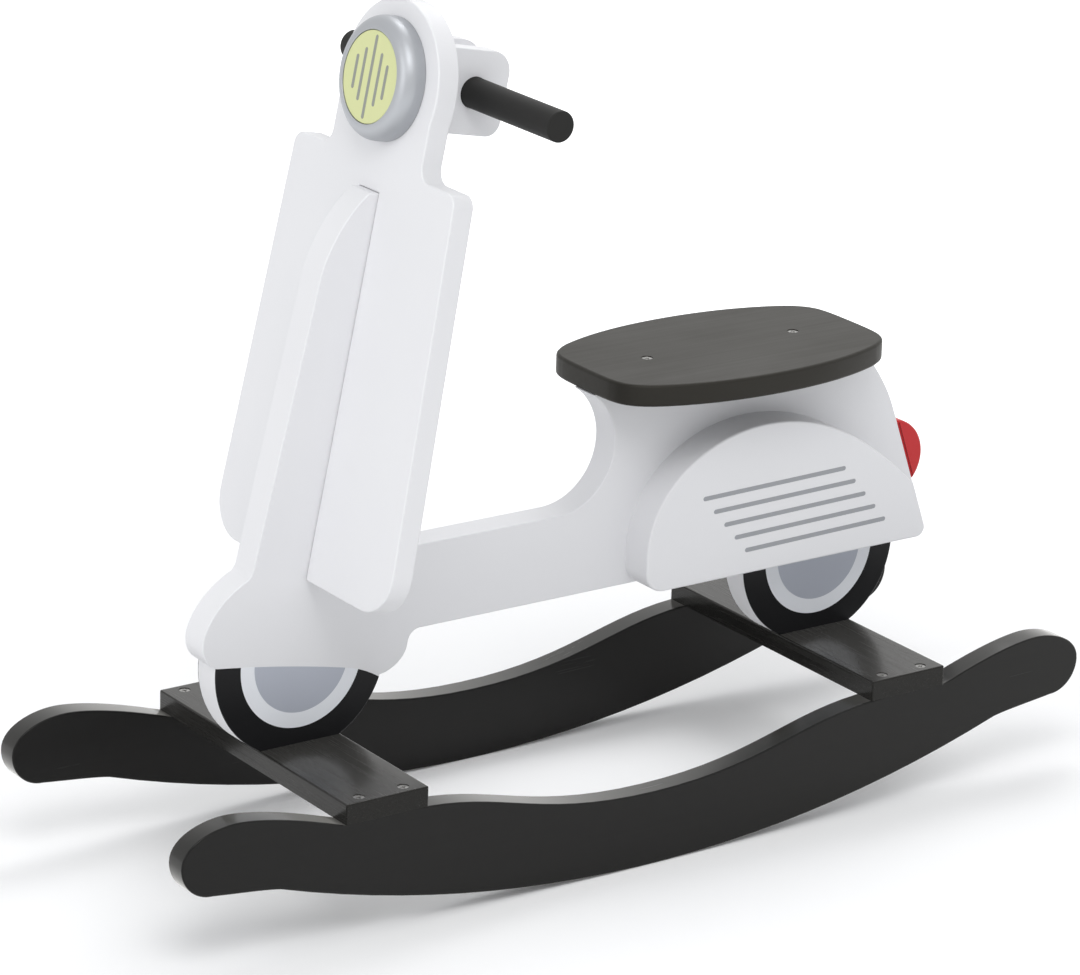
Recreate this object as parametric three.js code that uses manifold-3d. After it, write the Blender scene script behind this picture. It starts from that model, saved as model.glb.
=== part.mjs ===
// Rocking scooter: a child's ride-on toy of painted boards that stands on two rockers.
// Millimetres, +X forward, +Y to the rider's left, +Z up.
// The origin lies on the floor, midway between the rockers and midway between their tips.

import * as THREE from 'three';
import { mergeVertices } from 'three/addons/utils/BufferGeometryUtils.js';
import Module from 'manifold-3d';

const wasm = await Module();
wasm.setup();

// Gap between pieces that are screwed, glued or slotted together.
const fit = 0.3;
// How far a cutting tool runs past the face that it cuts.
const overrun = 2;

// Rockers: two boards with a round underside.
const rockerLength = 782;
const trackWidth = 250;
const rockerThickness = 18;
const rockingRadius = 1000;
const arcHalfSpan = 312;
const landHeight = 86;
const waistHeight = 56;
const tipRadius = 24.5;
const tipHeight = 81.5;
const humpHeight = 106.5;
const humpInset = 42;

// Rails: the two boards across the rockers that carry the wheels.
const wheelbase = 455;
const railWidth = 67;
const railThickness = 15;
const railScrewSpacing = 36;

// Centre panel: one board with both wheels, fender, column, floor beam and seat post.
const panelThickness = 24;
const wheelRadius = 69.8;
const wheelLift = 61.5;
const beamLift = 67;
const beamDepth = 63;
const postHeight = 86.5;
const postArcForward = 11.7;
const seatLedgeFront = 15.5;
const seatLedgeLength = 242.5;
const tailReach = 99.5;
const tailStraightHeight = 94;
const tailStraightRun = 34;
const tailCornerRadius = 6;

// Leaning frame of the column and the shield, measured up and back from the rail's top.
const rakeAngle = THREE.MathUtils.degToRad(11.38);
const leanForward = 22.2;
const skirtRise = 57.8;
const noseReach = 74.5;
const noseRise = 79;
const lobeRise = 54.5;
const lobeReach = 97.5;
const lobeShoulderRise = 75;
const lobeFilletRadius = 10;
const fenderRise = 122;
const fenderReach = 47;
const fenderFillet = 14;
const columnReachLow = 44;
const columnReachHigh = 34;
const shoulderLength = 60;
const columnBack = 42;
const columnFillet = 38;
const blockBack = 73;
const blockDrop = 23.5;
const blockRise = 17.5;
const blockRadius = 9;

// Leg shield with its head.
const shieldThickness = 17;
const shieldBottom = 123;
const shieldHeight = 295.5;
const shieldWidthLow = 228;
const shieldWidthHigh = 200;
const shieldCornerRadius = 31;
const shoulderRadius = 10;
const neckInset = 2.5;
const neckFilletRadius = 11;
const headRadius = 58.5;
const headRise = 55.5;
const slotMargin = 19.5;

// Handle cheeks and the round bar through them.
const cheekThickness = 13;
const cheekHeight = 60;
const cheekBack = 81;
const cheekTopRadius = 16;
const cheekBottomRadius = 11;
const barDiameter = 22;
const barLength = 258;
const barBack = 54;
const barRise = 58;
const barEndRadius = 1.5;

// Headlight: a turned ring with a round disc let into it.
const ringRadius = 43;
const ringDepth = 17;
const ringRimRadius = 6;
const lensRadius = 32;
const lensThickness = 3;
const lensRecess = 1;

// Seat board.
const seatLength = 242;
const seatWidth = 152;
const seatThickness = 16.5;
const seatScrewSpacing = 132;

// Cowls: the thick side covers of the rear half.
const cowlThickness = 27;
const cowlFront = 49;
const cowlHeight = 113.5;
const cowlCrown = 153;
const cowlFrontRise = 28;
const cowlInset = 17.5;
const cowlRearRise = 44;
const cowlFrontRadius = 16;
const cowlRearRadius = 7;

// Tail light: a half-round board on the rear edge.
const tailLightThickness = 22;
const tailLightChord = 53;
const tailLightDepth = 16.5;
const tailLightRise = 59.5;

// Wood screws and dowels.
const screwHeadRadius = 4;
const screwHeadHeight = 2.6;
const screwRadius = 2;
const screwTipLength = 5;
const screwSink = 0.6;
const recessWidth = 1.1;
const recessLength = 4.4;
const recessDepth = 1.4;
const railScrewLength = 45;
const seatScrewLength = 50;
const footScrewLength = 60;
const footScrewSpacing = 34;
const barScrewLength = 24;
const dowelRadius = 4;
const dowelLength = 28;
const cowlDowelRadius = 5;
const cowlDowelBite = 16;
const shieldDowelInset = 15;

// Points closer together than this are taken as one.
const smallestStep = 0.02;
const mergeTolerance = 1e-4;

// Levels and places that follow from the sizes above.
const railTop = landHeight + railThickness;
const axleX = wheelbase / 2;
const wheelZ = railTop + wheelLift;
const beamBottom = railTop + beamLift;
const beamTop = beamBottom + beamDepth;
const seatBase = beamTop + postHeight;
const seatTop = seatBase + seatThickness;
const panelHalf = panelThickness / 2;
const trackHalf = trackWidth / 2;
const rockerInner = trackHalf - rockerThickness;
const rockerMiddle = trackHalf - rockerThickness / 2;
const leanX = axleX + leanForward;
const shieldTop = shieldBottom + shieldHeight;
const slotTop = shieldTop - slotMargin;
const headCentre = shieldTop + headRise;
const barUp = shieldTop + barRise;
const seatRear = -seatLedgeFront - seatLedgeLength;
const seatCentre = -seatLedgeFront - seatLedgeLength / 2;
const tailX = -axleX - tailReach;
const footHalf = Math.sqrt(wheelRadius ** 2 - wheelLift ** 2);

const arcStep = THREE.MathUtils.degToRad(6);
const roundingStep = THREE.MathUtils.degToRad(18);
const rockerStep = THREE.MathUtils.degToRad(1.5);
const curveSteps = 14;
const turnedSides = 48;
const screwSides = 16;
const dowelSides = 20;

const paint = {
  white: { color: 0xe9e9eb, roughness: 0.45, metalness: 0 },
  black: { color: 0x1d1c1c, roughness: 0.5, metalness: 0 },
  silver: { color: 0xa9adb3, roughness: 0.35, metalness: 0.6 },
  lime: { color: 0xd6db96, roughness: 0.45, metalness: 0 },
  red: { color: 0xcd373c, roughness: 0.45, metalness: 0 },
  steel: { color: 0xb9bbbd, roughness: 0.35, metalness: 1 },
  beech: { color: 0xcfa978, roughness: 0.7, metalness: 0 },
};

// Points and outlines. Every outline is a list of points in a plane.

function point(x, z) {
  return new THREE.Vector2(x, z);
}

// A point of the leaning frame, by its way up the column and its way back from the shield's front.
function lean(up, back) {
  const sine = Math.sin(rakeAngle);
  const cosine = Math.cos(rakeAngle);
  return point(leanX - up * sine - back * cosine, railTop + up * cosine - back * sine);
}

function arc(centre, radius, from, to, step = arcStep) {
  const count = Math.max(1, Math.ceil(Math.abs(to - from) / step));
  const points = [];
  for (let i = 0; i <= count; i += 1) {
    const angle = from + ((to - from) * i) / count;
    points.push(point(centre.x + radius * Math.cos(angle), centre.y + radius * Math.sin(angle)));
  }
  return points;
}

function curve(start, first, second, end) {
  return new THREE.CubicBezierCurve(start, first, second, end).getPoints(curveSteps);
}

// The rounded corner at a point between its two neighbours.
function corner(before, at, after, radius) {
  const toBefore = before.clone().sub(at).normalize();
  const toAfter = after.clone().sub(at).normalize();
  const half = Math.acos(THREE.MathUtils.clamp(toBefore.dot(toAfter), -1, 1)) / 2;
  const start = at.clone().addScaledVector(toBefore, radius / Math.tan(half));
  const middle = toBefore.clone().add(toAfter).normalize();
  const centre = at.clone().addScaledVector(middle, radius / Math.sin(half));
  const from = start.clone().sub(centre).angle();
  const turn = Math.PI - 2 * half;
  const side = Math.sign(toBefore.cross(toAfter));
  return arc(centre, radius, from, from - side * turn);
}

// A closed outline from a list of corner points, each with the radius that rounds it.
function roundedOutline(corners) {
  return corners.flatMap(([at, radius], i) => {
    const [before] = corners.at(i - 1);
    const [after] = corners[(i + 1) % corners.length];
    return radius > 0 ? corner(before, at, after, radius) : [at];
  });
}

// The same for an open run, without its first and last points.
function openOutline(corners) {
  const inner = corners.slice(1, -1);
  return inner.flatMap(([at, radius], i) => {
    const [before] = corners[i];
    const [after] = corners[i + 2];
    return radius > 0 ? corner(before, at, after, radius) : [at];
  });
}

function mirrored(points) {
  return points.map((p) => point(-p.x, p.y)).reverse();
}

// Neighbouring points that all but coincide are dropped.
function tidyOutline(points) {
  return points.filter((p, i) => p.distanceTo(points.at(i - 1)) > smallestStep);
}

// Solids: closed bodies with their faces pointing out.

function outwardTriangles(positions, index) {
  const a = new THREE.Vector3();
  const b = new THREE.Vector3();
  const c = new THREE.Vector3();
  const kept = [];
  let volume = 0;
  for (let i = 0; i < index.length; i += 3) {
    const [p, q, r] = [index[i], index[i + 1], index[i + 2]];
    if (p !== q && q !== r && r !== p) {
      kept.push([p, q, r]);
      a.fromArray(positions, 3 * p);
      b.fromArray(positions, 3 * q);
      c.fromArray(positions, 3 * r);
      volume += a.dot(b.cross(c));
    }
  }
  return kept.flatMap(([p, q, r]) => (volume < 0 ? [p, r, q] : [p, q, r]));
}

function solid(geometry) {
  const bare = new THREE.BufferGeometry();
  bare.setAttribute('position', geometry.getAttribute('position').clone());
  bare.setIndex(geometry.index);
  const merged = mergeVertices(bare, mergeTolerance);
  const vertProperties = Float32Array.from(merged.getAttribute('position').array);
  const triVerts = Uint32Array.from(outwardTriangles(vertProperties, merged.index.array));
  return new wasm.Manifold(new wasm.Mesh({ numProp: 3, vertProperties, triVerts }));
}

function geometryOf(body) {
  const mesh = body.getMesh();
  const geometry = new THREE.BufferGeometry();
  geometry.setAttribute('position', new THREE.BufferAttribute(mesh.vertProperties, 3));
  geometry.setIndex(new THREE.BufferAttribute(mesh.triVerts, 1));
  return geometry;
}

function cutAway(geometry, cutters) {
  return geometryOf(cutters.reduce((body, cutter) => body.subtract(solid(cutter)), solid(geometry)));
}

// A board whose outline lies in the XZ plane and whose faces lie at two values of Y.
function sideBoard(points, low, high) {
  const shape = new THREE.Shape(points);
  const geometry = new THREE.ExtrudeGeometry(shape, { depth: high - low, bevelEnabled: false });
  geometry.rotateX(Math.PI / 2);
  geometry.translate(0, high, 0);
  return geometry;
}

// A board whose outline lies in the YZ plane and whose faces lie at two values of X.
function frontBoard(points, low, high) {
  const shape = new THREE.Shape(points);
  const geometry = new THREE.ExtrudeGeometry(shape, { depth: high - low, bevelEnabled: false });
  const yAxis = new THREE.Vector3(0, 1, 0);
  const zAxis = new THREE.Vector3(0, 0, 1);
  const xAxis = new THREE.Vector3(1, 0, 0);
  geometry.applyMatrix4(new THREE.Matrix4().makeBasis(yAxis, zAxis, xAxis));
  geometry.translate(low, 0, 0);
  return geometry;
}

// A turned piece: its profile's points give radius and place along the axis.
function turned(profile, start, direction, sides) {
  const geometry = new THREE.LatheGeometry(profile, sides);
  const up = new THREE.Vector3(0, 1, 0);
  const turn = new THREE.Quaternion().setFromUnitVectors(up, direction.clone().normalize());
  geometry.applyQuaternion(turn);
  geometry.translate(start.x, start.y, start.z);
  return geometry;
}

function roundRod(start, direction, length, radius, sides = dowelSides) {
  const profile = [point(0, 0), point(radius, 0), point(radius, length), point(0, length)];
  return turned(profile, start, direction, sides);
}

const forward = new THREE.Vector3(1, 0, 0);
const leftward = new THREE.Vector3(0, 1, 0);
const upward = new THREE.Vector3(0, 0, 1);
const backward = new THREE.Vector3(-1, 0, 0);
const downward = new THREE.Vector3(0, 0, -1);

function sidePoint(flat, y = 0) {
  return new THREE.Vector3(flat.x, y, flat.y);
}

// The group that holds all pieces which lean with the column.
const leaning = new THREE.Group();
leaning.position.set(leanX, 0, railTop);
leaning.rotation.y = -rakeAngle;
leaning.updateMatrix();

function standing(geometry) {
  return geometry.applyMatrix4(leaning.matrix);
}

// Screws: countersunk, with a crossed recess, sunk a little into the board.

function screwProfile(length, grow) {
  const head = screwHeadRadius + grow;
  const shank = screwRadius + grow;
  return [
    point(0, -grow),
    point(head, -grow),
    point(shank, screwHeadHeight),
    point(shank, length - screwTipLength),
    point(0, length + grow),
  ];
}

function screw(at, direction, length) {
  const start = at.clone().addScaledVector(direction, screwSink);
  const body = turned(screwProfile(length, 0), start, direction, screwSides);
  const turn = new THREE.Quaternion().setFromUnitVectors(upward, direction);
  const bars = [
    new THREE.BoxGeometry(recessLength, recessWidth, 2 * recessDepth),
    new THREE.BoxGeometry(recessWidth, recessLength, 2 * recessDepth),
  ];
  for (const bar of bars) {
    bar.applyQuaternion(turn);
    bar.translate(start.x, start.y, start.z);
  }
  return cutAway(body, bars);
}

// The hole for a screw, with its clearance and an open mouth.
function screwHole(at, direction, length) {
  const start = at.clone().addScaledVector(direction, screwSink);
  const profile = screwProfile(length, fit);
  profile[0] = point(0, -screwSink - overrun);
  profile.splice(1, 0, point(screwHeadRadius + fit, -screwSink - overrun));
  return turned(profile, start, direction, screwSides);
}

function dowelHole(start, direction, length, radius) {
  const from = start.clone().addScaledVector(direction, -fit);
  return roundRod(from, direction, length + 2 * fit, radius + fit);
}

// Where the fasteners go.

function railScrewPlaces(railX) {
  const places = [];
  for (const y of [rockerMiddle, -rockerMiddle]) {
    for (const x of [railX + railScrewSpacing / 2, railX - railScrewSpacing / 2]) {
      places.push(new THREE.Vector3(x, y, railTop));
    }
  }
  return places;
}

function footScrewPlaces(railX) {
  const shifts = [footScrewSpacing / 2, -footScrewSpacing / 2];
  return shifts.map((shift) => new THREE.Vector3(railX + shift, 0, landHeight));
}

function seatScrewPlaces() {
  const shifts = [seatScrewSpacing / 2, -seatScrewSpacing / 2];
  return shifts.map((shift) => new THREE.Vector3(seatCentre + shift, 0, seatTop));
}

// Dowels in the shield reach half way through it.
const shieldDowelDepth = shieldThickness / 2;
const lampDowelLength = shieldDowelDepth + ringDepth / 2;
const lampDowelStart = new THREE.Vector3(-shieldDowelDepth, 0, barUp);
const cowlDowelLength = panelThickness + 2 * cowlDowelBite;

// The bar is locked by one screw from the back of the panel's head.
const barScrewStart = new THREE.Vector3(-blockBack, 0, barUp);

// The cowls' dowels cross the panel at three places, given as shares of the cowl's length and height.
const cowlDowelShares = [[0.16, 0.32], [0.44, 0.74], [0.82, 0.28]];

function cowlDowelPlaces() {
  const rear = tailX + cowlInset;
  return cowlDowelShares.map(([along, up]) => {
    const x = -cowlFront + along * (rear + cowlFront);
    return new THREE.Vector3(x, -panelHalf - cowlDowelBite, beamBottom + up * cowlHeight);
  });
}

function shieldDowelPlaces() {
  const places = [];
  const rise = cheekHeight / 2 - shieldDowelInset;
  for (const y of [1, -1].map((side) => side * (panelHalf + cheekThickness / 2))) {
    for (const z of [barUp + rise, barUp - rise]) {
      places.push(new THREE.Vector3(-shieldDowelDepth, y, z));
    }
  }
  return places;
}

// Sub-parts.

// Each pair gives a control point as shares of the way from a curve's start to its end.
const toeShares = { first: [0.2, 0.36], second: [0.62, 0.64] };
const crestShares = { first: [0, 0.69], second: [0.59, 1] };
const humpShares = { first: [0.2, 0], second: [0.55, 0.33] };
const waistShares = { first: [0.34, 0.12], second: [0.5, 1] };

function sweep(start, end, shares) {
  const control = ([along, up]) => point(
    THREE.MathUtils.lerp(start.x, end.x, along),
    THREE.MathUtils.lerp(start.y, end.y, up),
  );
  return curve(start, control(shares.first), control(shares.second), end);
}

function rockerOutline() {
  const slope = Math.asin(arcHalfSpan / rockingRadius);
  const arcCentre = point(0, rockingRadius);
  const arcEnd = point(arcHalfSpan, rockingRadius * (1 - Math.cos(slope)));
  const tip = point(rockerLength / 2 - tipRadius, tipHeight);
  const tipBottom = point(tip.x, tip.y - tipRadius);
  const tipEnd = point(tip.x + tipRadius, tip.y);
  const humpTop = point(rockerLength / 2 - humpInset, humpHeight);
  const landFront = point(axleX + railWidth / 2, landHeight);
  const landBack = point(axleX - railWidth / 2, landHeight);
  const front = [
    ...sweep(arcEnd, tipBottom, toeShares),
    ...arc(tip, tipRadius, -Math.PI / 2, 0),
    ...sweep(tipEnd, humpTop, crestShares),
    ...sweep(humpTop, landFront, humpShares),
    ...sweep(landBack, point(0, waistHeight), waistShares),
  ];
  const underside = arc(arcCentre, rockingRadius, -Math.PI / 2 - slope, -Math.PI / 2 + slope, rockerStep);
  return tidyOutline([...underside, ...front, ...mirrored(front)]);
}

function rocker(side) {
  const low = side > 0 ? rockerInner : -trackHalf;
  const board = sideBoard(rockerOutline(), low, low + rockerThickness);
  const holes = [axleX, -axleX]
    .flatMap(railScrewPlaces)
    .filter((at) => at.y * side > 0)
    .map((at) => screwHole(at, downward, railScrewLength));
  return cutAway(board, holes);
}

function rail(railX) {
  const board = new THREE.BoxGeometry(railWidth, trackWidth, railThickness);
  board.translate(railX, 0, landHeight + railThickness / 2);
  const holes = [
    ...railScrewPlaces(railX).map((at) => screwHole(at, downward, railScrewLength)),
    ...footScrewPlaces(railX).map((at) => screwHole(at, upward, footScrewLength)),
  ];
  return cutAway(board, holes);
}

// Angles on a wheel, measured at its centre.
const footAngle = Math.atan2(-wheelLift, footHalf);
const beamAngle = Math.asin((beamBottom - wheelZ) / wheelRadius);

// A straight line of the leaning frame crosses the front wheel's circle at two points.
function wheelCrossing(rise, side) {
  const centre = point(axleX, wheelZ);
  const along = point(Math.cos(rakeAngle), Math.sin(rakeAngle));
  const onLine = lean(rise, 0);
  const foot = onLine.clone().addScaledVector(along, centre.clone().sub(onLine).dot(along));
  const half = Math.sqrt(wheelRadius ** 2 - foot.distanceTo(centre) ** 2);
  return foot.addScaledVector(along, side * half);
}

function wheelAngle(at) {
  return Math.atan2(at.y - wheelZ, at.x - axleX);
}

// The fender's nose and crown and the column's front, with control points as shares of each run.
const noseShares = { first: [0.62, 0.13], second: [1, 0.43] };
const crownShares = { first: [0.05, 0.3], second: [0.35, 0.7] };
const filletShares = { first: [1, 0.25], second: [1, 0.5] };
const shoulderShares = { first: [0.08, 0.33], second: [0.5, 0.8], tip: 0.18 };

// A swept curve of the leaning frame; its shares count first the way back, then the way up.
function leanSweep([upStart, backStart], [upEnd, backEnd], shares) {
  const control = ([inward, upward]) => lean(
    THREE.MathUtils.lerp(upStart, upEnd, upward),
    THREE.MathUtils.lerp(backStart, backEnd, inward),
  );
  return curve(
    lean(upStart, backStart),
    control(shares.first),
    control(shares.second),
    lean(upEnd, backEnd),
  );
}

// How far up and back a point lies in the leaning frame.
function leanPlace(at) {
  const across = at.clone().sub(point(leanX, railTop));
  const sine = Math.sin(rakeAngle);
  const cosine = Math.cos(rakeAngle);
  return [across.y * cosine - across.x * sine, -across.x * cosine - across.y * sine];
}

function fenderAndColumnFront() {
  const shoulderRise = slotTop - shoulderLength;
  const tipReach = columnReachHigh * shoulderShares.tip;
  return [
    ...leanSweep(leanPlace(wheelCrossing(skirtRise, 1)), [noseRise, -noseReach], noseShares),
    ...leanSweep([noseRise, -noseReach], [fenderRise, -fenderReach], crownShares),
    ...leanSweep(
      [fenderRise, -fenderReach],
      [fenderRise + fenderFillet, -columnReachLow],
      filletShares,
    ),
    ...leanSweep([shoulderRise, -columnReachHigh], [slotTop, -tipReach], shoulderShares),
  ];
}

function columnBackAndHead() {
  const front = shieldThickness + fit;
  const top = barUp + blockRise;
  const blockFoot = barUp - blockDrop;
  return openOutline([
    [lean(slotTop, -columnReachHigh), 0],
    [lean(slotTop, front), 0],
    [lean(top, front), blockRadius],
    [lean(top, blockBack), blockRadius],
    [lean(blockFoot, blockBack), blockRadius],
    [lean(blockFoot, columnBack), blockRadius],
    [columnFootCorner(), columnFillet],
    [point(postArcForward, beamTop), 0],
  ]);
}

// Where the column's back line would meet the top of the floor beam.
function columnFootCorner() {
  const up = (beamTop - railTop + columnBack * Math.sin(rakeAngle)) / Math.cos(rakeAngle);
  return lean(up, columnBack);
}

// The post's front is a round hollow from the beam up to the seat ledge.
// The tail's curve starts at the ledge's rear and ends along the straight rear edge.
const tailShares = { pull: 0.45, drop: 0.35, ease: 0.4 };

function seatPostAndTail() {
  const ledgeFront = point(-seatLedgeFront, seatBase);
  const run = postArcForward - ledgeFront.x;
  const radius = (run ** 2 + postHeight ** 2) / (2 * postHeight);
  const centre = point(postArcForward, beamTop + radius);
  const ledgeAngle = ledgeFront.clone().sub(centre).angle();
  const ledgeRear = point(seatRear, seatBase);
  const straightTop = point(tailX + tailStraightRun, beamBottom + tailStraightHeight);
  const foot = point(tailX, beamBottom);
  const drop = ledgeRear.clone().sub(straightTop);
  const along = straightTop.clone().sub(foot);
  return [
    ...arc(centre, radius, (3 * Math.PI) / 2, ledgeAngle),
    ...curve(
      ledgeRear,
      point(ledgeRear.x - drop.x * tailShares.pull, ledgeRear.y - drop.y * tailShares.drop),
      straightTop.clone().addScaledVector(along, (tailShares.ease * drop.y) / along.y),
      straightTop,
    ),
    ...corner(straightTop, foot, point(-axleX, beamBottom), tailCornerRadius),
  ];
}

const lobeShares = { first: [0.05, 0.41], second: [0.44, 0.84] };

function underside() {
  const up = (beamLift + lobeReach * Math.sin(rakeAngle)) / Math.cos(rakeAngle);
  const lobeTop = lean(up, lobeReach);
  const lobeShoulder = lean(lobeShoulderRise, lobeReach);
  const lobeEnd = wheelCrossing(lobeRise, -1);
  const rearWheel = point(-axleX, wheelZ);
  const frontWheel = point(axleX, wheelZ);
  return [
    ...arc(rearWheel, wheelRadius, Math.PI - beamAngle, Math.PI - footAngle),
    ...arc(rearWheel, wheelRadius, footAngle, beamAngle),
    ...corner(point(-axleX, beamBottom), lobeTop, lobeShoulder, lobeFilletRadius),
    ...leanSweep([lobeShoulderRise, lobeReach], leanPlace(lobeEnd), lobeShares),
    ...arc(frontWheel, wheelRadius, wheelAngle(lobeEnd) + 2 * Math.PI, Math.PI - footAngle),
  ];
}

function centrePanelOutline() {
  const noseStart = wheelAngle(wheelCrossing(skirtRise, 1));
  return tidyOutline([
    ...arc(point(axleX, wheelZ), wheelRadius, footAngle, noseStart),
    ...fenderAndColumnFront(),
    ...columnBackAndHead(),
    ...seatPostAndTail(),
    ...underside(),
  ]);
}

function tailEdge() {
  const foot = point(tailX, beamBottom);
  const along = point(tailStraightRun, tailStraightHeight).normalize();
  const outward = point(-along.y, along.x);
  const middle = foot.clone().addScaledVector(along, tailLightRise / along.y);
  middle.addScaledVector(outward, fit);
  return { along, outward, middle };
}

function tailDowelStart() {
  const { outward, middle } = tailEdge();
  return middle.clone().addScaledVector(outward, tailLightDepth / 2 - dowelLength);
}

function tailDowelDirection() {
  return sidePoint(tailEdge().outward);
}

function centrePanel() {
  const board = sideBoard(centrePanelOutline(), -panelHalf, panelHalf);
  const barStart = new THREE.Vector3(-barBack, -panelHalf - overrun, barUp);
  const holes = [
    ...[axleX, -axleX].flatMap(footScrewPlaces).map((at) => screwHole(at, upward, footScrewLength)),
    ...seatScrewPlaces().map((at) => screwHole(at, downward, seatScrewLength)),
    ...cowlDowelPlaces().map((at) => dowelHole(at, leftward, cowlDowelLength, cowlDowelRadius)),
    standing(roundRod(barStart, leftward, panelThickness + 2 * overrun, barDiameter / 2 + fit, turnedSides)),
    standing(screwHole(barScrewStart, forward, barScrewLength)),
    dowelHole(sidePoint(tailDowelStart()), tailDowelDirection(), dowelLength, dowelRadius),
  ];
  return cutAway(board, holes);
}

// A quarter of the seat's edge, as shares of its half length and half width.
const seatShares = [
  [[1, 0], [1, 0.2], [0.996, 0.37], [0.99, 0.4]],
  [[0.99, 0.4], [0.98, 0.56], [0.926, 0.667], [0.81, 0.76]],
  [[0.81, 0.76], [0.55, 0.94], [0.27, 1], [0, 1]],
];

function seatOutline() {
  const place = ([along, aside]) => point((along * seatLength) / 2, (aside * seatWidth) / 2);
  const quarter = seatShares.flatMap((run) => curve(...run.map(place)));
  const leftSide = [...quarter, ...mirrored(quarter)];
  const rightSide = leftSide.map((p) => point(p.x, -p.y)).reverse();
  return tidyOutline([...leftSide, ...rightSide]);
}

function seat() {
  const shape = new THREE.Shape(seatOutline());
  const board = new THREE.ExtrudeGeometry(shape, { depth: seatThickness, bevelEnabled: false });
  board.translate(seatCentre, 0, seatBase);
  return cutAway(board, seatScrewPlaces().map((at) => screwHole(at, downward, seatScrewLength)));
}

// The cowl's front is a quarter of an ellipse; its rear falls in a flatter curve.
const quarterShares = { first: [0, 0.5523], second: [0.4477, 1] };
const cowlRearShares = { first: [0.34, 0], second: [0.63, 0.29] };

function cowlOutline() {
  const rearFoot = point(tailX + cowlInset, beamBottom);
  const slope = tailStraightRun / tailStraightHeight;
  const rearTop = point(rearFoot.x + cowlRearRise * slope, beamBottom + cowlRearRise);
  const crown = point(-cowlCrown, beamBottom + cowlHeight);
  const frontTop = point(-cowlFront, beamBottom + cowlFrontRise);
  const frontFoot = point(-cowlFront, beamBottom);
  return tidyOutline([
    ...corner(rearFoot, frontFoot, frontTop, cowlFrontRadius),
    ...sweep(frontTop, crown, quarterShares),
    ...sweep(crown, rearTop, cowlRearShares),
    ...corner(rearTop, rearFoot, frontFoot, cowlRearRadius),
  ]);
}

function cowl(side) {
  const low = side > 0 ? panelHalf : -panelHalf - cowlThickness;
  const board = sideBoard(cowlOutline(), low, low + cowlThickness);
  return cutAway(
    board,
    cowlDowelPlaces().map((at) => dowelHole(at, leftward, cowlDowelLength, cowlDowelRadius)),
  );
}

function tailLight() {
  const { along, outward, middle } = tailEdge();
  const half = tailLightChord / 2;
  const radius = (half ** 2 + tailLightDepth ** 2) / (2 * tailLightDepth);
  const centre = middle.clone().addScaledVector(outward, tailLightDepth - radius);
  const start = middle.clone().addScaledVector(along, half).sub(centre).angle();
  const spread = 2 * Math.asin(half / radius);
  const points = tidyOutline(arc(centre, radius, start, start + spread));
  const board = sideBoard(points, -tailLightThickness / 2, tailLightThickness / 2);
  const hole = dowelHole(sidePoint(tailDowelStart()), tailDowelDirection(), dowelLength, dowelRadius);
  return cutAway(board, [hole]);
}

// Pieces of the leaning group, in its own frame: +X forward, +Z up the column.

function shieldOutline() {
  const neckHalf = headRadius - neckInset;
  const headAngle = Math.acos(neckHalf / headRadius);
  const neckTop = point(neckHalf, headCentre - headRadius * Math.sin(headAngle));
  const slotHalf = panelHalf + fit;
  const low = shieldWidthLow / 2;
  const high = shieldWidthHigh / 2;
  const shoulder = point(high, shieldTop);
  const foot = point(low, shieldBottom);
  const slotFoot = point(slotHalf, shieldBottom);
  const neckFoot = point(neckHalf, shieldTop);
  const right = [
    point(slotHalf, slotTop + fit),
    slotFoot,
    ...corner(slotFoot, foot, shoulder, shieldCornerRadius),
    ...corner(foot, shoulder, neckFoot, shoulderRadius),
    ...corner(shoulder, neckFoot, neckTop, neckFilletRadius),
    ...arc(point(0, headCentre), headRadius, -headAngle, Math.PI / 2),
  ];
  return tidyOutline([...right, ...mirrored(right)]);
}

function legShield() {
  const board = frontBoard(shieldOutline(), -shieldThickness, 0);
  const holes = [
    ...shieldDowelPlaces().map((at) => dowelHole(at, backward, dowelLength, dowelRadius)),
    dowelHole(lampDowelStart, forward, lampDowelLength, dowelRadius),
  ];
  return cutAway(board, holes);
}

function handleCheek(side) {
  const front = -shieldThickness - fit;
  const top = barUp + cheekHeight / 2;
  const bottom = barUp - cheekHeight / 2;
  const outline = roundedOutline([
    [point(front, bottom), 0],
    [point(front, top), 0],
    [point(-cheekBack, top), cheekTopRadius],
    [point(-cheekBack, bottom), cheekBottomRadius],
  ]);
  const low = side > 0 ? panelHalf : -panelHalf - cheekThickness;
  const board = sideBoard(outline, low, low + cheekThickness);
  const barStart = new THREE.Vector3(-barBack, low - overrun, barUp);
  const holes = [
    roundRod(barStart, leftward, cheekThickness + 2 * overrun, barDiameter / 2 + fit, turnedSides),
    ...shieldDowelPlaces()
      .filter((at) => at.y * side > 0)
      .map((at) => dowelHole(at, backward, dowelLength, dowelRadius)),
  ];
  return cutAway(board, holes);
}

function handlebar() {
  const radius = barDiameter / 2;
  const inner = radius - barEndRadius;
  const profile = [
    point(0, 0),
    ...arc(point(inner, barEndRadius), barEndRadius, -Math.PI / 2, 0, roundingStep),
    ...arc(point(inner, barLength - barEndRadius), barEndRadius, 0, Math.PI / 2, roundingStep),
    point(0, barLength),
  ];
  const start = new THREE.Vector3(-barBack, -barLength / 2, barUp);
  const bar = turned(profile, start, leftward, turnedSides);
  return cutAway(bar, [screwHole(barScrewStart, forward, barScrewLength)]);
}

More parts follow.
